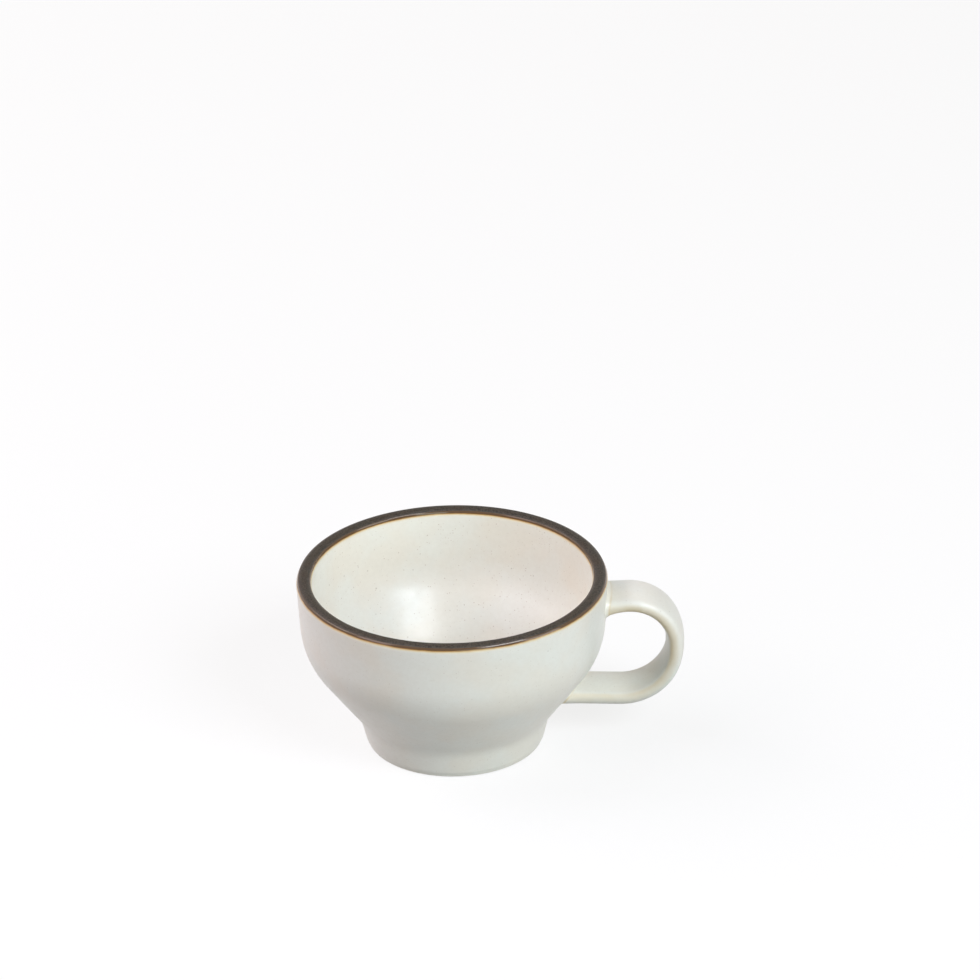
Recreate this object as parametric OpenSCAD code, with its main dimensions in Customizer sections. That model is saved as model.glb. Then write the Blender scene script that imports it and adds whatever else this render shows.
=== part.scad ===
// Espresso cup: a stoneware bowl on a turned foot, with a strap handle luted on with slip,
// and coats of glaze that leave the lip and the standing edge of the foot bare.
// Millimetres, +Z up. The origin is the middle of the foot on the table; the handle points along +X.

/* [Bowl] */
// Outside diameter of the bare clay at the lip
rim_d = 76; // [72:0.1:82]
// Height from the table to the top of the lip
cup_h = 45; // [43:0.1:50]
// Thickness of the clay wall
wall_t = 3.2; // [2.8:0.1:4]
// Radius that rounds each edge of the lip
lip_r = 1.3; // [0.8:0.05:1.4]
// Lean of the upper wall from upright, wider towards the lip
wall_lean = 3.2; // [0:0.1:6]
// Lean of the lower wall from upright, between the waist and the belly
flare_lean = 36; // [32:0.5:40]
// Radius of the belly, between the lower and the upper wall
belly_r = 19.5; // [14:0.5:22]
// Height of the inside floor above the table
floor_h = 7.1; // [6:0.1:9]
// Radius between the inside wall and the floor
floor_r = 22; // [12:0.5:24]

/* [Foot] */
// Outside diameter of the foot where it meets the table
foot_d = 43.1; // [40:0.1:46]
// Lean of the foot's side from upright, wider towards the waist
foot_lean = 14; // [10:0.5:20]
// Height of the waist above the table
waist_h = 7.7; // [7:0.1:9]
// Radius of the hollow at the waist
waist_r = 10; // [4:0.1:12]
// Radius of the two edges of the foot ring
foot_edge_r = 0.65; // [0.3:0.05:1]
// Width of the foot ring where it stands
foot_ring_w = 4; // [3:0.1:6]
// Depth of the recess inside the foot ring
recess_h = 2.2; // [1.8:0.1:3]
// Lean of the recess wall from upright
recess_lean = 20; // [5:1:35]
// Radius between the recess wall and its ceiling
recess_r = 1; // [0.6:0.1:1.2]

/* [Handle] */
// Width of the strap's clay
strap_w = 12.2; // [9:0.1:14]
// Thickness of the strap's clay at its middle
strap_t = 3.95; // [3.2:0.05:4.6]
// Radius of the strap's two long edges
strap_edge_r = 1.45; // [0.9:0.05:1.55]
// Drop from the top of the lip to the strap's middle where it leaves the wall
upper_arm_drop = 7.5; // [6.2:0.1:9.2]
// Rise of the upper arm, outwards from the wall
upper_arm_lean = 3.1; // [0:0.1:8]
// Straight length of the upper arm, from the wall to the upper bend
upper_arm_l = 5.1; // [3:0.1:9]
// Radius of the upper bend at the strap's middle
top_bend_r = 11.35; // [9:0.05:12.5]
// Height of the strap's middle where it comes back to the wall
lower_arm_z = 12.6; // [12:0.05:13.8]
// Fall of the lower arm, outwards from the wall
lower_arm_fall = 2.2; // [0:0.1:3]
// Straight length of the strap's back, between the upper bend and the lower bend
back_l = 1.2; // [0.2:0.1:3]

/* [Slip joints] */
// How far the upper fillet of slip spreads over the wall under the strap
upper_slip_w = 2.6; // [1:0.1:2.8]
// How far it spreads over the wall above the strap
upper_slip_top_w = 0.4; // [0.3:0.1:1.2]
// How far the upper fillet of slip runs out along the strap
upper_slip_l = 4.4; // [2:0.1:5]
// How far the lower fillet of slip spreads over the wall round the strap
lower_slip_w = 0.4; // [0.3:0.1:1.8]
// How far the lower fillet of slip runs out along the strap
lower_slip_l = 2.6; // [2:0.1:6]

/* [Glaze] */
// Thickness of the glaze coats
glaze_t = 0.3; // [0.2:0.05:0.4]
// Bare clay below the top of the lip, on the outside
bare_lip_out = 0.95; // [0.6:0.05:2.5]
// Bare clay below the top of the lip, on the inside
bare_lip_in = 1.1; // [0.6:0.05:2.5]
// Bare clay above the table, on both sides of the foot ring
bare_foot = 0.35; // [0.3:0.05:1.5]

/* [Hidden] */
$fn = 120;
// Largest turn between two points of a profile's arc, in degrees
arc_step = 5;
// How far a root reaches into the wall before the bowl's outside trims it
root_bury = 1.5;
// How far a slip fillet's blank reaches inside the strap before the strap trims it
bore_bury = 0.6;
// Steps along a slip fillet's hollow
slip_steps = 8;
// How closely a slip fillet's spread below the strap gathers under its middle
slip_gather = 3;
// Points on each long edge and on each broad face of the strap's outline
edge_points = 14;
face_points = 6;
// How far a straight stretch of the strap laps into the bend that it meets
seam_lap = 0.001;
// Rounds of the search for the place where a line along the strap meets the wall
root_rounds = 5;

clay_colour = "#54493f";
glaze_colour = "#e6e5dd";
slip_colour = "#ddd6c6";

// The bowl's profile, as sharp corners that arcs then round
rim_r = rim_d / 2;
foot_r = foot_d / 2;
ring_in_r = foot_r - foot_ring_w;
recess_top = [0, recess_h];
recess_corner = [ring_in_r - recess_h * tan(recess_lean), recess_h];
ring_in = [ring_in_r, 0];
ring_out = [foot_r, 0];
waist = [foot_r + waist_h * tan(foot_lean), waist_h];
lip_out = [rim_r, cup_h];
lip_in = [rim_r - wall_t / cos(wall_lean), cup_h];
belly_rise = rim_r - cup_h * tan(wall_lean) - waist[0] + waist_h * tan(flare_lean);
belly_z = belly_rise / (tan(flare_lean) - tan(wall_lean));
belly = [rim_r - (cup_h - belly_z) * tan(wall_lean), belly_z];
inner_belly = inset_corner(waist, belly, lip_out, wall_t);
floor_corner = [inner_belly[0] - (inner_belly[1] - floor_h) * tan(flare_lean), floor_h];
floor_middle = [0, floor_h];

// The rounded profile in three stretches, each point with its outward normal
under_side = concat(
    [[recess_top, [0, -1]]],
    corner_arc(recess_top, recess_corner, ring_in, recess_r),
    corner_arc(recess_corner, ring_in, ring_out, foot_edge_r)
);
out_side = concat(
    corner_arc(ring_in, ring_out, waist, foot_edge_r),
    corner_arc(ring_out, waist, belly, waist_r),
    corner_arc(waist, belly, lip_out, belly_r),
    corner_arc(belly, lip_out, lip_in, lip_r)
);
in_side = concat(
    corner_arc(lip_out, lip_in, inner_belly, lip_r),
    corner_arc(lip_in, inner_belly, floor_corner, belly_r - wall_t),
    corner_arc(inner_belly, floor_corner, floor_middle, floor_r),
    [[floor_middle, [0, 1]]]
);
clay_wall = radius_by_height(0);
glazed_wall = radius_by_height(glaze_t);

// The strap's outline: two round edges and two broad faces, all tangent, each point with its normal
edge_y = strap_w / 2 - strap_edge_r;
face_r = (pow(edge_y, 2) + pow(strap_t / 2, 2) - pow(strap_edge_r, 2)) / (strap_t - 2 * strap_edge_r);
face_x = face_r - strap_t / 2;
face_half = asin(edge_y / (face_r - strap_edge_r));
strap_side = concat(
    outline_arc([-face_x, 0], face_r, -face_half, face_half, face_points),
    outline_arc([0, edge_y], strap_edge_r, face_half, 180 - face_half, edge_points),
    outline_arc([face_x, 0], face_r, 180 - face_half, 180 + face_half, face_points),
    outline_arc([0, -edge_y], strap_edge_r, 180 + face_half, 360 - face_half, edge_points)
);
bare_strap = shifted(strap_side, 0);
glazed_strap = shifted(strap_side, glaze_t);

// The strap's route: an arm from the wall, a bend, a straight back, a bend and an arm to the wall
lower_arm_lean = -lower_arm_fall;
upper_arm_z = cup_h - upper_arm_drop;
upper_root = [lookup(upper_arm_z, clay_wall), upper_arm_z];
lower_root = [lookup(lower_arm_z, clay_wall), lower_arm_z];
top_bend = along(upper_root, upper_arm_lean, upper_arm_l) - top_bend_r * across(upper_arm_lean);
handle_reach = top_bend[0] + top_bend_r;
low_rise = top_bend[1] - back_l - lower_root[1] - (handle_reach - lower_root[0]) * tan(lower_arm_lean);
low_bend_r = low_rise / (cos(lower_arm_lean) - (1 - sin(lower_arm_lean)) * tan(lower_arm_lean));
lower_arm_l = (handle_reach - low_bend_r * (1 - sin(lower_arm_lean)) - lower_root[0]) / cos(lower_arm_lean);
low_bend = along(lower_root, lower_arm_lean, lower_arm_l) + low_bend_r * across(lower_arm_lean);

// Where each slip fillet ends on the strap, measured along the arm from its root
upper_slip_end = min(upper_slip_l + furthest_root(upper_root, upper_arm_lean), upper_arm_l);
lower_slip_end = min(lower_slip_l + furthest_root(lower_root, lower_arm_lean), lower_arm_l);

function unit(v) = v / norm(v);
function spin(v, angle) = [v[0] * cos(angle) - v[1] * sin(angle), v[0] * sin(angle) + v[1] * cos(angle)];
function reversed(list) = [for (i = [len(list) - 1:-1:0]) list[i]];
function shifted(side, grow) = [for (spot = side) spot[0] + grow * spot[1]];

// The corner at b, moved inwards until it lies depth inside both of its lines
function inset_corner(a, b, c, depth) =
    let (to_a = unit(a - b), to_c = unit(c - b))
    b + unit(to_a + to_c) * depth / sin(acos(to_a * to_c) / 2);

// The arc that rounds the corner at b, with the clay on the left of the way from a to c
function corner_arc(a, b, c, r) =
    let (
        ahead = unit(b - a),
        next = unit(c - b),
        side = ahead[0] * next[1] - ahead[1] * next[0] < 0 ? -1 : 1,
        angle = acos(ahead * next),
        normal = [ahead[1], -ahead[0]],
        centre = b - r * tan(angle / 2) * ahead - side * r * normal,
        steps = ceil(angle / arc_step)
    )
    [for (i = [0:steps]) let (n = spin(normal, side * angle * i / steps)) [centre + side * r * n, n]];

// The outside's radius at each height, under a coat that thick
function radius_by_height(grow) = [for (p = shifted(out_side, grow)) [p[1], p[0]]];

// Steps along an arm that rises outwards, and square to it in the handle's plane
function along(start, lean, distance) = start + distance * [cos(lean), sin(lean)];
function across(lean) = [-sin(lean), cos(lean)];

// One of the strap outline's arcs as [across, sideways] points with normals, the last left to the next arc
function outline_arc(centre, r, start, stop, count) = [
    for (i = [0:count - 1])
        let (n = spin([1, 0], start + (stop - start) * i / count))
        [centre + r * n, n]
];

// The outline of a slip fillet, at a share of its spread below the strap and above it
function slip_outline(under_w, top_w, share) = [
    for (spot = strap_side)
        let (under = pow(0.5 - spot[0][0] / strap_t, slip_gather))
        spot[0] + (glaze_t + (top_w + (under_w - top_w) * under) * share) * spot[1]
];

// How far along an arm the line through an outline point meets a wall
function root_at(wall, root, lean, spot, guess = 0, rounds = root_rounds) =
    rounds < 1 ? guess :
    let (
        base = root + spot[0] * across(lean),
        r = lookup(base[1] + guess * sin(lean), wall),
        x = sqrt(pow(r, 2) - pow(spot[1], 2))
    )
    root_at(wall, root, lean, spot, (x - base[0]) / cos(lean), rounds - 1);

function furthest_root(root, lean) =
    max([for (spot = glazed_strap) root_at(glazed_wall, root, lean, spot)]);

// One ring of a slip fillet: an outline, part of the way from the wall to the fillet's end
function slip_ring(root, lean, outline, end, share) = [
    for (spot = outline)
        let (
            wall_s = root_at(glazed_wall, root, lean, spot),
            p = along(root + spot[0] * across(lean), lean, wall_s + (end - wall_s) * share)
        )
        [p[0], spot[1], p[1]]
];

// An outline, sunk into the wall
function buried_ring(root, lean, outline) = [
    for (spot = outline)
        let (
            wall_s = root_at(clay_wall, root, lean, spot),
            p = along(root + spot[0] * across(lean), lean, wall_s - root_bury)
        )
        [p[0], spot[1], p[1]]
];

// A closed tube of rings, the last joined back to the first
module ring_solid(rings) {
    count = len(rings[0]);
    corner = function(i, j) (i % len(rings)) * count + j % count;
    polyhedron(
        points = [for (ring = rings, p = ring) p],
        faces = [
            for (i = [0:len(rings) - 1], j = [0:count - 1], half = [0, 1])
                half == 0
                    ? [corner(i, j), corner(i, j + 1), corner(i + 1, j + 1)]
                    : [corner(i, j), corner(i + 1, j + 1), corner(i + 1, j)]
        ]
    );
}

// A straight stretch of the strap, drawn from a start along a heading
module strap_run(start, heading, distance, outline) {
    translate([start[0], 0, start[1]])
        rotate([0, 90 - heading, 0])
            linear_extrude(distance)
                rotate(180)
                    polygon(outline);
}

// A bend of the strap about its centre, between two directions from that centre
module strap_bend(centre, r, low, high, outline) {
    translate([centre[0], 0, centre[1]])
        rotate([90, 0, 0])
            rotate(low)
                rotate_extrude(angle = high - low, start = 0)
                    translate([r, 0])
                        polygon(outline);
}

// An arm of the strap, between two distances from its root
module arm(root, lean, start, end, outline) {
    strap_run(along(root, lean, start), lean, end - start, outline);
}

// The whole strap with an outline, its arms starting that far from their roots
module strap(outline, upper_start, lower_start) {
    arm(upper_root, upper_arm_lean, upper_start, upper_arm_l + seam_lap, outline);
    strap_bend(top_bend, top_bend_r, 0, 90 + upper_arm_lean, outline);
    strap_run(low_bend + [low_bend_r, -seam_lap], 90, back_l + 2 * seam_lap, outline);
    strap_bend(low_bend, low_bend_r, lower_arm_lean - 90, 0, outline);
    arm(lower_root, lower_arm_lean, lower_start, lower_arm_l + seam_lap, outline);
}

// All that lies within the clay's outside
module bowl_envelope() {
    rotate_extrude() polygon(concat([[0, 0]], shifted(out_side, 0), [[0, cup_h]]));
}

// A coat of glaze over one stretch of the profile, between two heights
module coat(side, low, high) {
    rotate_extrude()
        intersection() {
            polygon(concat(shifted(side, glaze_t), reversed(shifted(side, 0))));
            translate([0, low]) square([rim_d, high - low]);
        }
}

// A fillet of slip round one root, hollow in section, seated on the wall and round the strap
module slip_fillet(root, lean, under_w, top_w, end) {
    bore = shifted(strap_side, -bore_bury);
    hollow = [
        for (i = [0:slip_steps])
            let (turn = 90 * i / slip_steps)
            slip_ring(root, lean, slip_outline(under_w, top_w, 1 - sin(turn)), end, 1 - cos(turn))
    ];
    difference() {
        ring_solid(concat(
            [buried_ring(root, lean, slip_outline(under_w, top_w, 1))],
            hollow,
            [slip_ring(root, lean, bore, end, 1), buried_ring(root, lean, bore)]
        ));
        arm(root, lean, -wall_t, end + root_bury, bare_strap);
        bowl_envelope();
    }
}

// The room that a slip fillet takes in the outer coat
module slip_seat(root, lean, under_w, top_w, end) {
    arm(root, lean, -wall_t, end, slip_outline(under_w, top_w, 1));
}

module bowl() {
    color(clay_colour)
        rotate_extrude()
            polygon(concat(shifted(under_side, 0), shifted(out_side, 0), shifted(in_side, 0)));
}

module handle() {
    color(clay_colour)
        difference() {
            strap(bare_strap, -wall_t, -wall_t);
            bowl_envelope();
        }
}

module upper_slip_joint() {
    color(slip_colour)
        slip_fillet(upper_root, upper_arm_lean, upper_slip_w, upper_slip_top_w, upper_slip_end);
}

module lower_slip_joint() {
    color(slip_colour)
        slip_fillet(lower_root, lower_arm_lean, lower_slip_w, lower_slip_w, lower_slip_end);
}

module outer_glaze() {
    color(glaze_colour)
        difference() {
            coat(out_side, bare_foot, cup_h - bare_lip_out);
            slip_seat(upper_root, upper_arm_lean, upper_slip_w, upper_slip_top_w, upper_slip_end);
            slip_seat(lower_root, lower_arm_lean, lower_slip_w, lower_slip_w, lower_slip_end);
        }
}

module inner_glaze() {
    color(glaze_colour) coat(in_side, floor_h, cup_h - bare_lip_in);
}

module base_glaze() {
    color(glaze_colour) coat(under_side, bare_foot, recess_h);
}

module handle_glaze() {
    color(glaze_colour)
        difference() {
            strap(glazed_strap, upper_slip_end, lower_slip_end);
            strap(bare_strap, upper_slip_end - root_bury, lower_slip_end - root_bury);
        }
}

bowl();
handle();
upper_slip_joint();
lower_slip_joint();
outer_glaze();
inner_glaze();
base_glaze();
handle_glaze();
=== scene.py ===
"""Dresses the espresso cup: fine meshes of its clay, slip and glaze, their materials, and a soft studio.

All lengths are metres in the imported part's frame: +Z up, the handle along +X, the foot on z = 0.
"""

import cmath
import math

import bpy
import numpy as np
from mathutils import Matrix, Vector


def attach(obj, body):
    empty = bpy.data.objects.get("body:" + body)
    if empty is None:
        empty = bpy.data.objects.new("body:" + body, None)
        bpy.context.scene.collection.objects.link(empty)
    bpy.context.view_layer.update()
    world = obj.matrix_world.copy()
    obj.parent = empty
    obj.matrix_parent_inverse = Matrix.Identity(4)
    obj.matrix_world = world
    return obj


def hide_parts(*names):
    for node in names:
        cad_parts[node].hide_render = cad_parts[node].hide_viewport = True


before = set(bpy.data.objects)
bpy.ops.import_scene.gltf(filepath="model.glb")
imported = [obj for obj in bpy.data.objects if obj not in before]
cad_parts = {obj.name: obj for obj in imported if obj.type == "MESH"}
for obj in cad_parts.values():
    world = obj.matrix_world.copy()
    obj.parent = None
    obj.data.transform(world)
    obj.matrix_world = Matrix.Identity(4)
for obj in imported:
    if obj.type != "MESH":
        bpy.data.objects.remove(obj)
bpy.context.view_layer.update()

MM = 0.001

# The bowl's sizes, as its solid has them; leans are degrees from upright
RIM_D = 76 * MM
CUP_H = 45 * MM
WALL_T = 3.2 * MM
LIP_R = 1.3 * MM
WALL_LEAN = 3.2
FLARE_LEAN = 36
BELLY_R = 19.5 * MM
FLOOR_H = 7.1 * MM
FLOOR_R = 22 * MM
FOOT_D = 43.1 * MM
FOOT_LEAN = 14
WAIST_H = 7.7 * MM
WAIST_R = 10 * MM
FOOT_EDGE_R = 0.65 * MM
FOOT_RING_W = 4 * MM
RECESS_H = 2.2 * MM
RECESS_LEAN = 20
RECESS_R = 1 * MM

# The handle's sizes; leans are degrees from level
STRAP_W = 12.2 * MM
STRAP_T = 3.95 * MM
STRAP_EDGE_R = 1.45 * MM
UPPER_ARM_DROP = 7.5 * MM
UPPER_ARM_LEAN = 3.1
UPPER_ARM_L = 5.1 * MM
TOP_BEND_R = 11.35 * MM
LOWER_ARM_Z = 12.6 * MM
LOWER_ARM_LEAN = -2.2
BACK_L = 1.2 * MM
UPPER_SLIP_W = 2.6 * MM
UPPER_SLIP_TOP_W = 0.4 * MM
UPPER_SLIP_L = 4.4 * MM
LOWER_SLIP_W = 0.4 * MM
LOWER_SLIP_L = 2.6 * MM
SLIP_GATHER = 3

# The glaze: its full coat, how far below the lip and above the table it stops, and how unevenly
GLAZE_T = 0.3 * MM
BARE_LIP_OUT = 0.42 * MM
BARE_LIP_IN = 0.56 * MM
BARE_FOOT = 0.22 * MM
EDGE_WOBBLE = 0.02 * MM
WOBBLE_WAVES = range(2, 60)

# At its edges it is a film that runs a little way and then swells to the full coat
FILM_T = 0.1 * MM
FILM_RUN = 0.5 * MM
EDGE_TAPER = 0.9 * MM

# The film looks amber, less so past its end, and only faintly at the foot
AMBER_FADE = 0.4 * MM
FULL_TINT = 1.0
FOOT_TINT = 0.12

# How far the coats, the slip and the strap's ends are sunk into what they lie on
SUNK = 0.05 * MM

# The lighter band on the bare lip beside the glaze's edges: painted sheen on the lip's roundings, with a
# faint residue of wiped glaze
HAZE_AND_SHEEN_RUN = 0.5 * MM
HAZE_AND_SHEEN_TINT = 0.2

# The crease round each root, where the slip that luted the strap was wiped off
CREASE_RUN = 1.1 * MM
CREASE_W = 0.42 * MM
CREASE_DEPTH = 0.08 * MM
CREASE_TINT = 0.44

# How much of that tint the crease shows at the strap's mid-thickness, and how much that grows downwards
CREASE_MEAN = 0.7
CREASE_GROWTH = 0.6

# The tint along the strap's edges and their inner ridges, partly thin glaze and partly painted shade:
# how strong it is, and where that is round the outline, as degrees from the outer face
EDGE_TINT_AND_SHADE = 0.2
EDGE_FACING = 92
EDGE_SPREAD = 42
RIDGE_TINT_AND_SHADE = 0.17
RIDGE_FACING = 132
RIDGE_SPREAD = 24

# How that varies along the loop, most where the loop has turned up from the handle's furthest point,
# so that the painted shade lies more on the upper arm's edges than on the lower arm's
TINT_AND_SHADE_MEAN = 1.02
TINT_AND_SHADE_SWING = 0.14
TINT_AND_SHADE_TURN = math.radians(60)

# The fine lines that turning left in the bare clay: their pitch, how often they break round the cup,
# and how strongly they show
TURNING_PITCH = 0.18 * MM
TURNING_BREAKS = 24
LINE_TINT = 0.35

# How finely the meshes follow those shapes
ARC_STEP = math.radians(2)
SEGMENTS = 320
COAT_ROWS = 130
BACK_ROWS = 40
CLAY_STEP = 0.5 * MM
FACE_POINTS = 26
EDGE_POINTS = 24
STRAP_STEP = 0.5 * MM
SLIP_STEPS = 56
ROOT_ROUNDS = 6
SHARP_ANGLE = math.radians(50)

# The studio's floor: how much of its look is plain white, the lit paper that takes the cup's shadow,
# and the paper's shade for the light that it sends back up to the cup
STAGE_RADIUS = 3.0
STAGE_SIDES = 96
STAGE_DROP = 0.02 * MM
STAGE_GLOW = 0.8
STAGE_PAPER = (0.95, 0.95, 0.95, 1.0)
STAGE_BOUNCE = (0.34, 0.34, 0.34, 1.0)

# The room's even light, and how far the soft boxes stand from the cup
WHITE = (1.0, 1.0, 1.0, 1.0)
ROOM_LEVEL = 0.02
BOX_DISTANCE = 1.2

# The camera, as the photograph's perspective gives it: angles in degrees, lens and sensor in millimetres
TARGET_H = 19.3 * MM
CAMERA_DISTANCE = 1357 * MM
CAMERA_ELEVATION = 28.692
CAMERA_YAW = -0.4172
CAMERA_PITCH = 1.825
CAMERA_ROLL = 1.272
CAMERA_LENS = 201.6
SENSOR = 36


def slope(degrees):
    """Sideways run per unit of height of a line that leans that far from upright."""
    return math.tan(math.radians(degrees))


def unit(v):
    """The direction of a complex number."""
    return v / abs(v)


# Profile points are complex numbers: radius + 1j * height. The clay lies on the left of the way along.

def inset_corner(before, corner, after, depth):
    """The corner, moved inwards until it lies depth inside both of its lines."""
    back = unit(before - corner)
    onward = unit(after - corner)
    half = abs(cmath.phase(onward / back)) / 2
    return corner + unit(back + onward) * depth / math.sin(half)


def corner_arc(before, corner, after, radius):
    """The arc that rounds a corner, as points and their outward normals."""
    ahead = unit(corner - before)
    angle = cmath.phase((after - corner) / ahead)
    side = math.copysign(1, angle)
    outward = -1j * ahead
    centre = corner - radius * math.tan(abs(angle) / 2) * ahead - side * radius * outward
    turns = np.linspace(0, angle, math.ceil(abs(angle) / ARC_STEP) + 1)
    normals = outward * np.exp(1j * turns)
    return centre + side * radius * normals, normals


class Side:
    """A stretch of the clay's profile that can be read at any distance along it."""

    def __init__(self, *arcs):
        self.points = np.concatenate([points for points, normals in arcs])
        self.normals = np.concatenate([normals for points, normals in arcs])
        self.run = np.concatenate([[0], np.cumsum(abs(np.diff(self.points)))])
        self.length = self.run[-1]

    def at(self, run, grow=0):
        """The points at those distances, grow outside the clay."""
        normals = np.interp(run, self.run, self.normals)
        return np.interp(run, self.run, self.points) + grow * normals / abs(normals)

    def crossing(self, height):
        """The distance at which the profile first passes a height."""
        above = self.points.imag > height
        i = int(np.argmax(above != above[0]))
        low, high = self.points.imag[i - 1:i + 1]
        return self.run[i - 1] + (height - low) / (high - low) * (self.run[i] - self.run[i - 1])

    def spread(self, step):
        """Distances along the side, about a step apart, with every point of its arcs among them."""
        between = np.arange(0, self.length, step)
        return np.unique(np.concatenate([self.run, between]))


rim_r = RIM_D / 2
foot_r = FOOT_D / 2
ring_in_r = foot_r - FOOT_RING_W
recess_top = 1j * RECESS_H
recess_corner = ring_in_r - RECESS_H * slope(RECESS_LEAN) + 1j * RECESS_H
ring_in = complex(ring_in_r)
ring_out = complex(foot_r)
waist = foot_r + WAIST_H * slope(FOOT_LEAN) + 1j * WAIST_H
lip_out = rim_r + 1j * CUP_H
lip_in = rim_r - WALL_T / math.cos(math.radians(WALL_LEAN)) + 1j * CUP_H
belly_rise = rim_r - CUP_H * slope(WALL_LEAN) - waist.real + WAIST_H * slope(FLARE_LEAN)
belly_h = belly_rise / (slope(FLARE_LEAN) - slope(WALL_LEAN))
belly = rim_r - (CUP_H - belly_h) * slope(WALL_LEAN) + 1j * belly_h
inner_belly = inset_corner(waist, belly, lip_out, WALL_T)
floor_corner = inner_belly.real - (inner_belly.imag - FLOOR_H) * slope(FLARE_LEAN) + 1j * FLOOR_H
floor_middle = 1j * FLOOR_H

under_side = Side(
    (np.array([recess_top]), np.array([-1j])),
    corner_arc(recess_top, recess_corner, ring_in, RECESS_R),
    corner_arc(recess_corner, ring_in, ring_out, FOOT_EDGE_R),
)
out_side = Side(
    corner_arc(ring_in, ring_out, waist, FOOT_EDGE_R),
    corner_arc(ring_out, waist, belly, WAIST_R),
    corner_arc(waist, belly, lip_out, BELLY_R),
    corner_arc(belly, lip_out, lip_in, LIP_R),
)
in_side = Side(
    corner_arc(lip_out, lip_in, inner_belly, LIP_R),
    corner_arc(lip_in, inner_belly, floor_corner, BELLY_R - WALL_T),
    corner_arc(inner_belly, floor_corner, floor_middle, FLOOR_R),
    (np.array([floor_middle]), np.array([1j])),
)

azimuths = np.linspace(0, 2 * math.pi, SEGMENTS, endpoint=False)


def wobble(seed):
    """A small uneven wave round the cup, for an edge that was wiped by hand; each seed gives its own."""
    loudness_step = 7.3
    phase_step = 2.1
    wave = 0
    for k in WOBBLE_WAVES:
        loudness = math.sin(loudness_step * seed + k) / k
        wave = wave + loudness * np.sin(k * (azimuths + phase_step * seed))
    return EDGE_WOBBLE * wave


def grid_faces(rows, columns, closed):
    """Quads over a grid whose columns go round, with the last row joined to the first if closed."""
    return [
        (i * columns + j, i * columns + k, n * columns + k, n * columns + j)
        for i, n in ((i, (i + 1) % rows) for i in range(rows if closed else rows - 1))
        for j, k in ((j, (j + 1) % columns) for j in range(columns))
    ]


def make_piece(name, points, faces, thin, material, slot, *nodes):
    """A smooth mesh that rides on the cup and stands for those nodes."""
    mesh = bpy.data.meshes.new(name)
    mesh.from_pydata(points.tolist(), [], faces)
    mesh.attributes.new("thin", "FLOAT", "POINT").data.foreach_set("value", thin.astype(np.float32))
    mesh.polygons.foreach_set("use_smooth", [True] * len(faces))
    mesh.set_sharp_from_angle(angle=SHARP_ANGLE)
    mesh.materials.append(material)
    piece = bpy.data.objects.new(name, mesh)
    bpy.context.scene.collection.objects.link(piece)
    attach(piece, "root")
    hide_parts(*nodes)


def revolve(name, rows, thin, poles, *looks):
    """A turned piece from rows of profile points, one for each azimuth.

    With poles, its first and last rows are single points on the axis; without, the rows close in a ring.
    """
    points = np.stack([rows.real * np.cos(azimuths), rows.real * np.sin(azimuths), rows.imag], axis=-1)
    if not poles:
        faces = grid_faces(len(rows), SEGMENTS, True)
        make_piece(name, points.reshape(-1, 3), faces, thin.ravel(), *looks)
        return
    inner = points[1:-1].reshape(-1, 3)
    points = np.concatenate([inner, points[:1, 0], points[-1:, 0]])
    thin = np.concatenate([thin[1:-1].ravel(), thin[:1, 0], thin[-1:, 0]])
    faces = grid_faces(len(rows) - 2, SEGMENTS, False)
    first = len(inner)
    last_row = first - SEGMENTS
    for j in range(SEGMENTS):
        k = (j + 1) % SEGMENTS
        faces.append((first, k, j))
        faces.append((last_row + j, last_row + k, first + 1))
    make_piece(name, points, faces, thin, *looks)


def bead(distance):
    """The glaze's thickness at a distance from its edge: a round-edged film, then a full coat."""
    left = np.clip(1 - distance / FILM_T, 0, 1)
    swell = np.clip((distance - FILM_RUN) / EDGE_TAPER, 0, 1)
    return FILM_T * np.sqrt(1 - left ** 2) + (GLAZE_T - FILM_T) * swell ** 2 * (3 - 2 * swell)


def amber(distance):
    """How thin the glaze looks at a distance from its edge: 1 all along the film, fading past its end."""
    return np.exp(-np.maximum(distance - FILM_RUN, 0) / AMBER_FADE)


def coat(name, side, start, end, start_edge, end_edge, tint, *looks):
    """A coat of glaze along a side between two distances, each an uneven edge or a pole on the axis.

    The tint says how strongly an edge at its start shows amber; an edge at its end does so in full.
    """
    steps = np.linspace(0, 1, COAT_ROWS)[:, None]
    if start_edge and end_edge:
        share = (1 - np.cos(math.pi * steps)) / 2
    elif start_edge:
        share = 1 - np.cos(math.pi / 2 * steps)
    else:
        share = np.sin(math.pi / 2 * steps)
    start = np.broadcast_to(start, SEGMENTS)
    end = np.broadcast_to(end, SEGMENTS)
    run = start + (end - start) * share
    distance = np.full(run.shape, side.length)
    thin_front = np.zeros(run.shape)
    if start_edge:
        distance = np.minimum(distance, run - start)
        thin_front = tint * amber(run - start)
    if end_edge:
        distance = np.minimum(distance, end - run)
        thin_front = np.maximum(thin_front, amber(end - run))
    front = side.at(run, bead(distance))
    # The hidden back has fewer rows, and still ends where the front starts
    back_run = start + (end - start) * share[::-1][::COAT_ROWS // BACK_ROWS]
    back_run[-1] = start
    back = side.at(back_run, -SUNK)
    halves = [(front, thin_front), (back, np.zeros(back.shape))]
    if not end_edge:
        halves.reverse()
    rows = np.concatenate([half[0] for half in halves])
    thin = np.concatenate([half[1] for half in halves])
    revolve(name, rows, thin, not (start_edge and end_edge), *looks)


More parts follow.
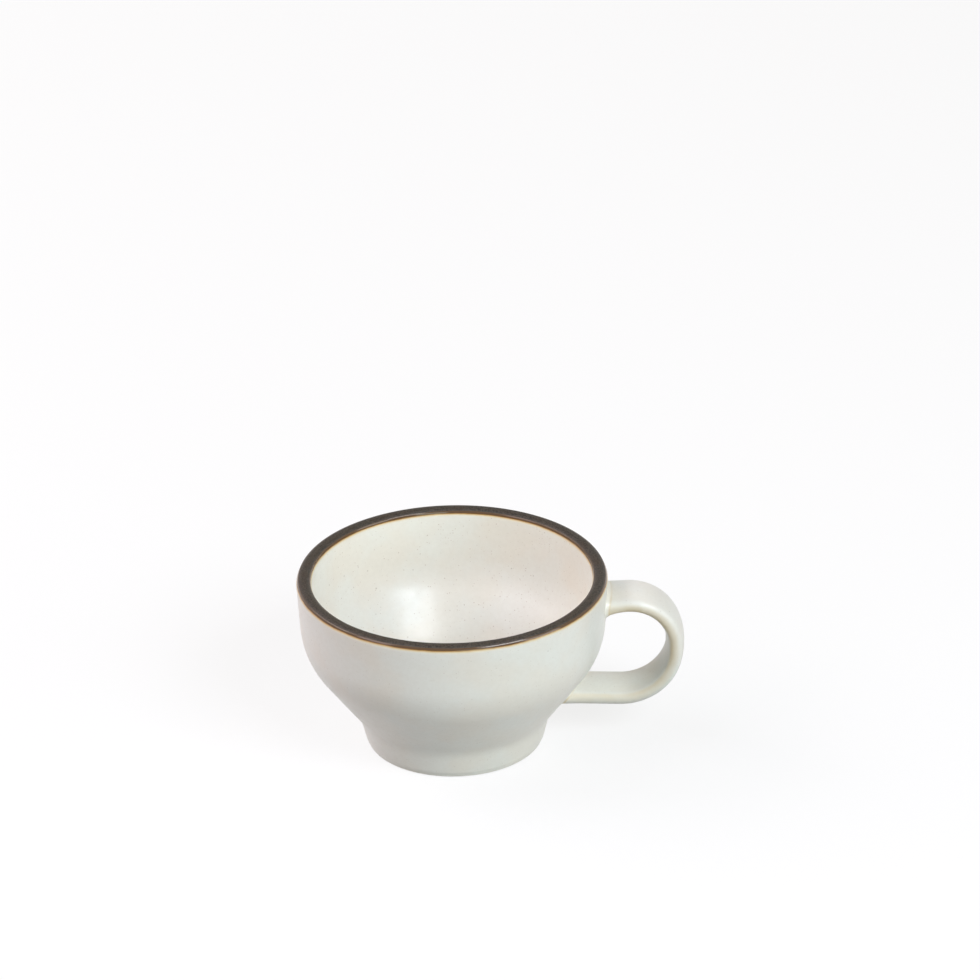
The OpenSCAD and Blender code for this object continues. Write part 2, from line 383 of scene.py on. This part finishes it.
class Shade:
    """The nodes of a material or a world. A call adds nodes whose inputs are values or others' outputs."""

    def __init__(self, owner):
        owner.use_nodes = True
        self.owner = owner
        self.tree = owner.node_tree
        self.tree.nodes.clear()

    def add(self, kind, inputs=None, **settings):
        """A node of that kind."""
        node = self.tree.nodes.new("ShaderNode" + kind)
        for key, value in settings.items():
            setattr(node, key, value)
        for key, value in (inputs or {}).items():
            if isinstance(value, bpy.types.NodeSocket):
                self.tree.links.new(value, node.inputs[key])
            else:
                node.inputs[key].default_value = value
        return node

    def where(self):
        """The place on the piece, in the part's frame."""
        return self.add("TexCoord").outputs["Object"]

    def noise(self, size, detail=2, vector=None):
        """Noise from 0 to 1 with features of about that size."""
        inputs = {"Vector": vector or self.where(), "Scale": 1 / size, "Detail": detail}
        return self.add("TexNoise", inputs).outputs["Fac"]

    def math(self, operation, a, b):
        """The number that the operation makes of a and b."""
        return self.add("Math", {0: a, 1: b}, operation=operation).outputs[0]

    def vector(self, operation, inputs, result="Vector"):
        """What the operation makes of its vectors."""
        return self.add("VectorMath", inputs, operation=operation).outputs[result]

    def attribute(self, name):
        """The number that the mesh holds under that name."""
        return self.add("Attribute", attribute_name=name).outputs["Fac"]

    def seen(self):
        """1 where the camera looks, also in a reflection or through glass, and 0 for other light."""
        path = self.add("LightPath").outputs
        seen = self.math("ADD", path["Is Camera Ray"], path["Is Glossy Ray"])
        return self.math("ADD", seen, path["Is Transmission Ray"])

    def fit(self, value, low, high, to_low=0.0, to_high=1.0):
        """The value, moved from one range to another and kept inside it."""
        inputs = {"Value": value, "From Min": low, "From Max": high, "To Min": to_low, "To Max": to_high}
        return self.add("MapRange", inputs, interpolation_type="SMOOTHSTEP").outputs["Result"]

    def mix(self, share, a, b):
        """A colour between a and b, by the sockets that the node keeps for colours."""
        inputs = {0: share, 6: a, 7: b}
        return self.add("Mix", inputs, data_type="RGBA").outputs[2]

    def specks(self, colour, spacing, radius, depth, speck_colour):
        """The colour with small round specks of another, none larger than the radius.

        Each cell of the spacing rolls its speck's size and depth, and some cells have none.
        """
        largest = radius / spacing
        smallest = 0.3 * largest
        soft_edge = 0.4 * largest
        cells_without = 0.4
        cells = self.add("TexVoronoi", {"Vector": self.where(), "Scale": 1 / spacing})
        dice = self.add("SeparateColor", {"Color": cells.outputs["Color"]})
        size = self.fit(dice.outputs["Green"], 0.0, 1.0, smallest, largest)
        inside = self.math("SUBTRACT", size, cells.outputs["Distance"])
        speck = self.fit(inside, 0.0, soft_edge)
        chosen = self.fit(dice.outputs["Red"], cells_without, 1.0, 0.0, depth)
        return self.mix(self.math("MULTIPLY", speck, chosen), colour, speck_colour)

    def turning(self):
        """Noise from 0 to 1 drawn out into fine lines round the cup's axis."""
        where = self.where()
        flat = self.vector("MULTIPLY", {0: where, 1: (1.0, 1.0, 0.0)})
        direction = self.vector("NORMALIZE", {0: flat})
        along = self.vector("SCALE", {0: direction, "Scale": TURNING_BREAKS})
        reach = self.vector("LENGTH", {0: flat}, "Value")
        height = self.add("SeparateXYZ", {"Vector": where}).outputs["Z"]
        lines = self.math("DIVIDE", self.math("ADD", reach, height), TURNING_PITCH)
        across = self.add("CombineXYZ", {"Z": lines}).outputs["Vector"]
        return self.noise(1, 3, self.vector("ADD", {0: along, 1: across}))

    def bump(self, height, distance):
        """The surface's normal, roughened by heights of up to that distance."""
        return self.add("Bump", {"Height": height, "Distance": distance}).outputs["Normal"]

    def surface(self, colour, roughness, normal, **fixed):
        """Finishes the material, with other sockets fixed at one number each, and returns it."""
        inputs = {"Base Color": colour, "Roughness": roughness, "Normal": normal}
        inputs.update({key.replace("_", " "): value for key, value in fixed.items()})
        shader = self.add("BsdfPrincipled", inputs)
        self.add("OutputMaterial", {"Surface": shader.outputs["BSDF"]})
        return self.owner


def srgb(red, green, blue):
    """A colour written as 0 to 255 on screen, as a linear one."""
    parts = [c / 255 for c in (red, green, blue)]
    return tuple(c / 12.92 if c <= 0.04045 else ((c + 0.055) / 1.055) ** 2.4 for c in parts) + (1.0,)


# The glaze's colours: its clouds, its mottle and its specks, and then from gold to brown as it thins; the
# gold also paints shade along the strap's edges
GLAZE_PALE = srgb(230, 230, 222)
GLAZE_CREAM = srgb(230, 226, 215)
GLAZE_MOTTLE = srgb(205, 200, 186)
FINE_SPECK = srgb(164, 140, 120)
LARGE_SPECK = srgb(136, 120, 102)
THIN_GOLD_AND_SHADE = srgb(209, 187, 142)
THIN_AMBER = srgb(160, 112, 40)
THIN_BROWN = srgb(86, 60, 32)

# How thin the glaze looks where gold, amber, brown and the film's gloss each start, and where each is full
GOLD_RANGE = (0.06, 0.46)
AMBER_RANGE = (0.36, 0.66)
BROWN_RANGE = (0.62, 0.92)
GLOSS_RANGE = (0.62, 0.84)

# The sizes of the glaze's clouds, mottle, uneven thinning, satin patches and dimples
CLOUD_SIZE = 14 * MM
MOTTLE_SIZE = 1.1 * MM
UNEVEN_SIZE = 4 * MM
SATIN_SIZE = 2.5 * MM
DIMPLE_SIZE = 0.8 * MM
DIMPLE_DEPTH = 0.006 * MM

# The glaze's fine and large specks: how far apart they lie, their largest radius and how deep they look
FINE_SPECK_GAP = 0.6 * MM
FINE_SPECK_R = 0.17 * MM
FINE_SPECK_DEPTH = 0.34
LARGE_SPECK_GAP = 1.9 * MM
LARGE_SPECK_R = 0.26 * MM
LARGE_SPECK_DEPTH = 0.26

# How strongly the specks show, outside and inside the cup
OUTER_SPECKLE = 0.9
LINER_SPECKLE = 1.6

# The glaze's roughness in its satin patches, the share of it that the glossy film keeps, and its shine
GLAZE_ROUGHNESS = (0.30, 0.40)
FILM_SHARE = 0.3
GLAZE_SPECULAR = 0.5

# The clay's colours: its grain, its turning lines, its warmer patches, and the lighter band beside the
# glaze, painted sheen with a faint residue of wiped glaze
CLAY_DARK = srgb(36, 32, 27)
CLAY_LIGHT = srgb(72, 66, 58)
CLAY_LINE = srgb(94, 86, 76)
CLAY_BLUSH = srgb(70, 55, 40)
CLAY_HAZE_AND_SHEEN = srgb(128, 122, 118)

# The clay's grain and warmer patches, its roughness between and on its turning lines, and its shine
GRAIN_SIZE = 0.42 * MM
GRAIN_DEPTH = 0.006 * MM
BLUSH_SIZE = 6 * MM
CLAY_ROUGHNESS = (0.35, 0.45)
CLAY_SPECULAR = 0.05


def glaze_material(name, speckle):
    """Satin off-white glaze: soft clouds, pin specks of that strength, amber where it runs thin, and
    painted shade in gold along the strap's edges.
    """
    shade = Shade(bpy.data.materials.new(name))
    clouds = shade.fit(shade.noise(CLOUD_SIZE, 3), 0.35, 0.65)
    colour = shade.mix(clouds, GLAZE_PALE, GLAZE_CREAM)
    mottle = shade.fit(shade.noise(MOTTLE_SIZE, 4), 0.3, 0.7, 0.0, 0.10)
    colour = shade.mix(mottle, colour, GLAZE_MOTTLE)

    fine_depth = FINE_SPECK_DEPTH * speckle
    colour = shade.specks(colour, FINE_SPECK_GAP, FINE_SPECK_R, fine_depth, FINE_SPECK)
    large_depth = LARGE_SPECK_DEPTH * speckle
    colour = shade.specks(colour, LARGE_SPECK_GAP, LARGE_SPECK_R, large_depth, LARGE_SPECK)

    uneven = shade.fit(shade.noise(UNEVEN_SIZE), 0.3, 0.7, 0.92, 1.08)
    # The mesh's thin value: thin glaze at the coats' edges, and also painted shade along the strap's edges
    thin = shade.math("MULTIPLY", shade.attribute("thin"), uneven)
    colour = shade.mix(shade.fit(thin, *GOLD_RANGE), colour, THIN_GOLD_AND_SHADE)
    colour = shade.mix(shade.fit(thin, *AMBER_RANGE), colour, THIN_AMBER)
    colour = shade.mix(shade.fit(thin, *BROWN_RANGE), colour, THIN_BROWN)

    satin = shade.fit(shade.noise(SATIN_SIZE, 3), 0.3, 0.7, *GLAZE_ROUGHNESS)
    kept = shade.fit(thin, *GLOSS_RANGE, 1.0, FILM_SHARE)
    roughness = shade.math("MULTIPLY", satin, kept)
    normal = shade.bump(shade.noise(DIMPLE_SIZE), DIMPLE_DEPTH)
    return shade.surface(colour, roughness, normal, Specular_IOR_Level=GLAZE_SPECULAR)


def clay_material(name):
    """Bare vitrified stoneware: dark brown, fine grain, turning lines, a satin sheen, and painted sheen
    beside the glaze.
    """
    shade = Shade(bpy.data.materials.new(name))
    grain = shade.fit(shade.noise(GRAIN_SIZE, 4), 0.36, 0.64)
    lines = shade.fit(shade.turning(), 0.32, 0.68)
    colour = shade.mix(grain, CLAY_DARK, CLAY_LIGHT)
    colour = shade.mix(shade.math("MULTIPLY", lines, LINE_TINT), colour, CLAY_LINE)
    blush = shade.fit(shade.noise(BLUSH_SIZE, 3), 0.4, 0.75, 0.0, 0.4)
    colour = shade.mix(blush, colour, CLAY_BLUSH)
    # Painted sheen: the lip is lightened beside the glaze's edges, with a faint residue of wiped glaze
    haze_and_sheen = shade.math("MULTIPLY", shade.attribute("thin"), HAZE_AND_SHEEN_TINT)
    colour = shade.mix(haze_and_sheen, colour, CLAY_HAZE_AND_SHEEN)
    roughness = shade.fit(lines, 0.0, 1.0, *CLAY_ROUGHNESS)
    normal = shade.bump(shade.math("ADD", grain, lines), GRAIN_DEPTH)
    return shade.surface(colour, roughness, normal, Specular_IOR_Level=CLAY_SPECULAR)


off_white_glaze = glaze_material("off_white_glaze", OUTER_SPECKLE)
liner_glaze = glaze_material("liner_glaze", LINER_SPECKLE)
glazed_slip = glaze_material("glazed_slip", OUTER_SPECKLE)
dark_clay = clay_material("dark_clay")


def make_bowl():
    """The clay body, with a lighter band on its lip that fades away from both coats: painted sheen, with a
    faint residue of wiped glaze.
    """
    under_run, out_run, in_run = (side.spread(CLAY_STEP) for side in (under_side, out_side, in_side))
    rows = np.concatenate([under_side.at(under_run), out_side.at(out_run), in_side.at(in_run)])
    from_out_coat = abs(out_run - out_side.crossing(CUP_H - BARE_LIP_OUT))
    from_in_coat = abs(in_run - in_side.crossing(CUP_H - BARE_LIP_IN))
    far_below = under_run + out_side.length
    from_coats = np.concatenate([far_below, from_out_coat, from_in_coat])
    # The lip's painted sheen, strongest at the coats' edges and fading away from them
    haze_and_sheen = np.broadcast_to(np.exp(-from_coats / HAZE_AND_SHEEN_RUN)[:, None], (len(rows), SEGMENTS))
    rows = np.broadcast_to(rows[:, None], haze_and_sheen.shape)
    revolve("cup_bowl", rows, haze_and_sheen, True, dark_clay, "dark_clay", "bowl")


def make_coats():
    """The glaze on the outside, on the inside and in the recess under the foot."""
    lip_edge = out_side.crossing(CUP_H - BARE_LIP_OUT) + wobble(1)
    foot_edge = out_side.crossing(BARE_FOOT) + wobble(2)
    coat("cup_outer_glaze", out_side, foot_edge, lip_edge, True, True, FOOT_TINT,
         off_white_glaze, "off_white_glaze", "outer_glaze")
    inner_edge = in_side.crossing(CUP_H - BARE_LIP_IN) + wobble(3)
    coat("cup_inner_glaze", in_side, inner_edge, in_side.length, True, False, FULL_TINT,
         liner_glaze, "off_white_glaze", "inner_glaze")
    ring_edge = under_side.crossing(BARE_FOOT) + wobble(4)
    coat("cup_base_glaze", under_side, 0.0, ring_edge, False, True, FULL_TINT,
         off_white_glaze, "off_white_glaze", "base_glaze")


# The strap's outline: across + 1j * sideways, two round edges and two broad faces, all tangent
edge_y = STRAP_W / 2 - STRAP_EDGE_R
face_r = (edge_y ** 2 + (STRAP_T / 2) ** 2 - STRAP_EDGE_R ** 2) / (STRAP_T - 2 * STRAP_EDGE_R)
face_x = face_r - STRAP_T / 2
face_half = math.asin(edge_y / (face_r - STRAP_EDGE_R))


def outline_arc(centre, radius, start, stop, count):
    """Points and normals on one of the outline's arcs, the last left to the next arc."""
    normals = np.exp(1j * (start + (stop - start) * np.arange(count) / count))
    return centre + radius * normals, normals


def strap_outline():
    """The bare strap's outline and its outward normals."""
    half_turn = math.pi
    arcs = [
        outline_arc(-face_x, face_r, face_half, -face_half, FACE_POINTS),
        outline_arc(-1j * edge_y, STRAP_EDGE_R, -face_half, face_half - half_turn, EDGE_POINTS),
        outline_arc(face_x, face_r, face_half - half_turn, -face_half - half_turn, FACE_POINTS),
        outline_arc(1j * edge_y, STRAP_EDGE_R, half_turn - face_half, face_half, EDGE_POINTS),
    ]
    return tuple(np.concatenate(part) for part in zip(*arcs))


outline, outline_normals = strap_outline()


class Arm:
    """One end of the strap: where it leaves the wall, which way, and how far it runs before its bend."""

    def __init__(self, height, lean):
        self.ahead = cmath.rect(1, math.radians(lean))
        self.across = 1j * self.ahead
        self.root = np.interp(height, out_side.points.imag, out_side.points.real) + 1j * height

    def add_bend(self, length, radius, side):
        """Runs the arm that far to a bend, whose middle lies above it for a side of 1 and below for -1."""
        self.length = length
        self.bend_r = radius
        self.bend = self.root + length * self.ahead + side * radius * self.across
        self.outwards = -side * self.across

    def set_slip(self, under_w, top_w, length):
        """Gives the arm's fillet of slip its spread below and above the strap, and its length."""
        under = (0.5 - outline.real / STRAP_T) ** SLIP_GATHER
        self.slip_w = top_w + (under_w - top_w) * under
        furthest = self.to_wall(outline + GLAZE_T * outline_normals, GLAZE_T).max()
        self.slip_end = min(length + furthest, self.length)

    def to_wall(self, spots, grow):
        """How far along the arm the lines through those outline points meet the wall under a coat."""
        wall = out_side.at(out_side.run, grow)
        base = self.root + spots.real * self.across
        reach = np.zeros(len(spots))
        for _ in range(ROOT_ROUNDS):
            radius = np.interp(base.imag + reach * self.ahead.imag, wall.imag, wall.real)
            reach = (np.sqrt(radius ** 2 - spots.imag ** 2) - base.real) / self.ahead.real
        return reach

    def ring(self, spots, reach):
        """Points in space at those outline points, that far along the arm."""
        flat = self.root + spots.real * self.across + reach * self.ahead
        return np.stack([flat.real, spots.imag, flat.imag], axis=-1)


upper_arm = Arm(CUP_H - UPPER_ARM_DROP, UPPER_ARM_LEAN)
upper_arm.add_bend(UPPER_ARM_L, TOP_BEND_R, -1)
handle_reach = upper_arm.bend.real + TOP_BEND_R
upper_arm.set_slip(UPPER_SLIP_W, UPPER_SLIP_TOP_W, UPPER_SLIP_L)

lower_arm = Arm(LOWER_ARM_Z, LOWER_ARM_LEAN)
low_slope = lower_arm.ahead.imag / lower_arm.ahead.real
low_rise = upper_arm.bend.imag - BACK_L - LOWER_ARM_Z - (handle_reach - lower_arm.root.real) * low_slope
low_bend_r = low_rise / (lower_arm.ahead.real - (1 - lower_arm.ahead.imag) * low_slope)
low_bend_start = handle_reach - low_bend_r * (1 - lower_arm.ahead.imag)
lower_arm_l = (low_bend_start - lower_arm.root.real) / lower_arm.ahead.real
lower_arm.add_bend(lower_arm_l, low_bend_r, 1)
lower_arm.set_slip(LOWER_SLIP_W, LOWER_SLIP_W, LOWER_SLIP_L)


def strap_route(upper_start, lower_start):
    """Places along the strap's middle, from one arm to the other, each with its outward direction."""
    def run(start, end):
        count = max(2, math.ceil(abs(end - start) / STRAP_STEP))
        return start + (end - start) * np.linspace(0, 1, count)

    def bend(centre, radius, start, end):
        turns = np.exp(1j * np.arange(start, end, -ARC_STEP))[1:]
        return centre + radius * turns, turns

    upper = run(upper_start, upper_arm.length)
    lower = run(lower_arm.length, lower_start)
    back = run(upper_arm.bend.imag, lower_arm.bend.imag)
    top_bend = bend(upper_arm.bend, upper_arm.bend_r, cmath.phase(upper_arm.across), 0)
    low_bend = bend(lower_arm.bend, lower_arm.bend_r, 0, cmath.phase(-lower_arm.across))
    parts = [
        (upper_arm.root + upper * upper_arm.ahead, np.full(len(upper), upper_arm.across)),
        top_bend,
        (handle_reach + 1j * back, np.ones(len(back), complex)),
        low_bend,
        (lower_arm.root + lower * lower_arm.ahead, np.full(len(lower), -lower_arm.across)),
    ]
    return tuple(np.concatenate(part) for part in zip(*parts))


def sweep(grow, upper_start, lower_start):
    """Rings of the strap's outline under a coat, along its route."""
    places, outwards = strap_route(upper_start, lower_start)
    spots = outline + grow * outline_normals
    flat = places[:, None] + outwards[:, None] * spots.real
    sideways = np.broadcast_to(spots.imag, flat.shape)
    return np.stack([flat.real, sideways, flat.imag], axis=-1)


def tube(name, rings, thin, closed, *looks):
    """A piece from rings round the strap; the last is joined to the first, or both ends are capped."""
    rows, columns = rings.shape[:2]
    faces = grid_faces(rows, columns, closed)
    if not closed:
        faces.append(tuple(reversed(range(columns))))
        faces.append(tuple(range((rows - 1) * columns, rows * columns)))
    make_piece(name, rings.reshape(-1, 3), faces, thin.ravel(), *looks)


def edge_tint_and_shade(normals, outwards):
    """How strongly the strap's outline is tinted where its outer face looks that way: thin glaze and
    painted shade.

    The tint lies along the long edges, and most along their inner ridges.
    """
    facing = np.degrees(abs(np.angle(normals)))
    edge = EDGE_TINT_AND_SHADE * np.exp(-((facing - EDGE_FACING) / EDGE_SPREAD) ** 2)
    ridge = RIDGE_TINT_AND_SHADE * np.exp(-((facing - RIDGE_FACING) / RIDGE_SPREAD) ** 2)
    return (edge + ridge) * (TINT_AND_SHADE_MEAN + TINT_AND_SHADE_SWING * np.cos(np.angle(outwards) - TINT_AND_SHADE_TURN))


def make_strap():
    """The strap's clay, and the glaze round it between the two slip joints."""
    clay = sweep(0, -SUNK, -SUNK)
    tube("strap_clay", clay, np.zeros(clay.shape[:2]), False, dark_clay, "dark_clay", "handle")
    front = sweep(GLAZE_T, upper_arm.slip_end, lower_arm.slip_end)
    back = sweep(-SUNK, upper_arm.slip_end, lower_arm.slip_end)[::-1]
    rings = np.concatenate([front, back])
    outwards = strap_route(upper_arm.slip_end, lower_arm.slip_end)[1]
    # The strap glaze's edge tint: thin glaze, with painted shade on the edges
    thin = np.concatenate([edge_tint_and_shade(outline_normals, outwards[:, None]), np.zeros(back.shape[:2])])
    tube("strap_glaze", rings, thin, True, off_white_glaze, "off_white_glaze", "handle_glaze")


def make_slip_joint(name, arm, node):
    """A fillet of slip under its glaze, from just inside the wall's glaze out to the strap's coat."""
    rings = []
    thin = []
    # The strap's edge tint, thin glaze with painted shade, carries on over the fillet
    tint = edge_tint_and_shade(outline_normals * (arm.outwards / arm.across), arm.outwards)
    crease_tint = CREASE_TINT * (CREASE_MEAN - CREASE_GROWTH * outline.real / STRAP_T)
    for step in np.linspace(0, 1, SLIP_STEPS + 1):
        turn = math.pi / 2 * step
        spots = outline + (GLAZE_T + arm.slip_w * (1 - math.sin(turn))) * outline_normals
        wall = arm.to_wall(spots, GLAZE_T - SUNK * (1 - step))
        run = (arm.slip_end - wall) * (1 - math.cos(turn))
        crease = np.exp(-((run - CREASE_RUN) / CREASE_W) ** 2)
        rings.append(arm.ring(spots - CREASE_DEPTH * crease * outline_normals, wall + run))
        thin.append(np.maximum(tint * np.clip(run / CREASE_RUN, 0, 1), crease_tint * crease))
    bore = outline - SUNK * outline_normals
    for reach in (np.full(len(bore), arm.slip_end), arm.to_wall(bore, -SUNK)):
        rings.append(arm.ring(bore, reach))
        thin.append(np.zeros(len(bore)))
    tube(name, np.array(rings), np.array(thin), True, glazed_slip, "glazed_slip", node)


def make_floor():
    """A wide pale floor that shows white and keeps the cup's soft shadow."""
    turns = np.linspace(0, 2 * math.pi, STAGE_SIDES, endpoint=False)
    points = [(STAGE_RADIUS * math.cos(t), STAGE_RADIUS * math.sin(t), -STAGE_DROP) for t in turns]
    mesh = bpy.data.meshes.new("floor")
    mesh.from_pydata(points, [], [tuple(range(STAGE_SIDES))])
    floor = bpy.data.objects.new("floor", mesh)
    bpy.context.scene.collection.objects.link(floor)

    shade = Shade(bpy.data.materials.new("floor"))
    seen = shade.seen()
    paper = shade.add("BsdfDiffuse", {"Color": shade.mix(seen, STAGE_BOUNCE, STAGE_PAPER)})
    white = shade.add("Emission", {"Color": WHITE, "Strength": 1.0})
    share = shade.math("MULTIPLY", seen, STAGE_GLOW)
    both = shade.add("MixShader", {0: share, 1: paper.outputs[0], 2: white.outputs[0]})
    shade.add("OutputMaterial", {"Surface": both.outputs[0]})
    mesh.materials.append(shade.owner)


def make_world():
    """White where the camera looks, and a faint even light on the cup."""
    shade = Shade(bpy.data.worlds.new("studio"))
    room = shade.add("Background", {"Color": WHITE, "Strength": ROOM_LEVEL})
    white = shade.add("Background", {"Color": WHITE, "Strength": 1.0})
    both = shade.add("MixShader", {0: shade.seen(), 1: room.outputs[0], 2: white.outputs[0]})
    shade.add("OutputWorld", {"Surface": both.outputs[0]})
    bpy.context.scene.world = shade.owner


def soft_box(name, azimuth, elevation, width, height, power, colour):
    """A rectangular lamp that faces the cup, so many degrees round it and up.

    Azimuth 0 is the camera's side, and it grows towards the handle.
    """
    lamp = bpy.data.lights.new(name, "AREA")
    lamp.shape = "RECTANGLE"
    lamp.size = width
    lamp.size_y = height
    lamp.energy = power
    lamp.color = colour
    box = bpy.data.objects.new(name, lamp)
    bpy.context.scene.collection.objects.link(box)
    turn = math.radians(azimuth)
    rise = math.radians(elevation)
    way = Vector((math.sin(turn) * math.cos(rise), -math.cos(turn) * math.cos(rise), math.sin(rise)))
    box.location = Vector((0, 0, CUP_H / 2)) + BOX_DISTANCE * way
    box.rotation_euler = way.to_track_quat("Z", "Y").to_euler()
    return box


def make_camera():
    """A long lens at the photograph's viewing angle, turned so that the cup falls where it does there."""
    rise = math.radians(CAMERA_ELEVATION)
    forward = Vector((0, math.cos(rise), -math.sin(rise)))
    right = Vector((1, 0, 0))
    up = right.cross(forward)
    place = Vector((0, 0, TARGET_H)) - CAMERA_DISTANCE * forward
    turn = Matrix.Rotation(math.radians(CAMERA_YAW), 3, up)
    forward, right = turn @ forward, turn @ right
    tilt = Matrix.Rotation(math.radians(CAMERA_PITCH), 3, right)
    forward, up = tilt @ forward, tilt @ up
    roll = Matrix.Rotation(math.radians(CAMERA_ROLL), 3, forward)
    right, up = roll @ right, roll @ up
    lens = bpy.data.cameras.new("camera")
    lens.lens = CAMERA_LENS
    lens.sensor_width = SENSOR
    camera = bpy.data.objects.new("camera", lens)
    camera.matrix_world = Matrix.Translation(place) @ Matrix((right, up, -forward)).transposed().to_4x4()
    bpy.context.scene.collection.objects.link(camera)
    bpy.context.scene.camera = camera


make_bowl()
make_coats()
make_strap()
make_slip_joint("upper_slip", upper_arm, "upper_slip_joint")
make_slip_joint("lower_slip", lower_arm, "lower_slip_joint")

make_floor()
make_world()

# Each soft box's azimuth and elevation, its width and height, its watts and its colour
soft_box("key_box", 39, 39, 0.58, 0.5, 10.4, (0.87, 0.93, 1.0))
soft_box("right_box", 65, 14, 0.6, 0.4, 2.7, (1.0, 1.0, 0.98))
soft_box("front_box", 15, 10, 0.5, 0.3, 1.9, (0.86, 1.0, 0.84))
soft_box("left_box", -105, 36, 0.9, 0.6, 8.4, (1.0, 0.9, 0.9))
soft_box("blush_box", -60, 30, 0.5, 0.6, 2.9, (1.0, 0.86, 0.92))
soft_box("top_box", -100, 66, 0.7, 0.5, 2.6, (0.78, 0.8, 1.0))
soft_box("back_box", 165, 50, 0.7, 0.5, 1.0, (1.0, 0.85, 0.5))
rear_box = soft_box("rear_box", 180, 7, 0.8, 0.2, 2.6, (1.0, 0.98, 0.94))
rear_box.visible_glossy = False

make_camera()
bpy.context.scene.view_settings.view_transform = "Standard"
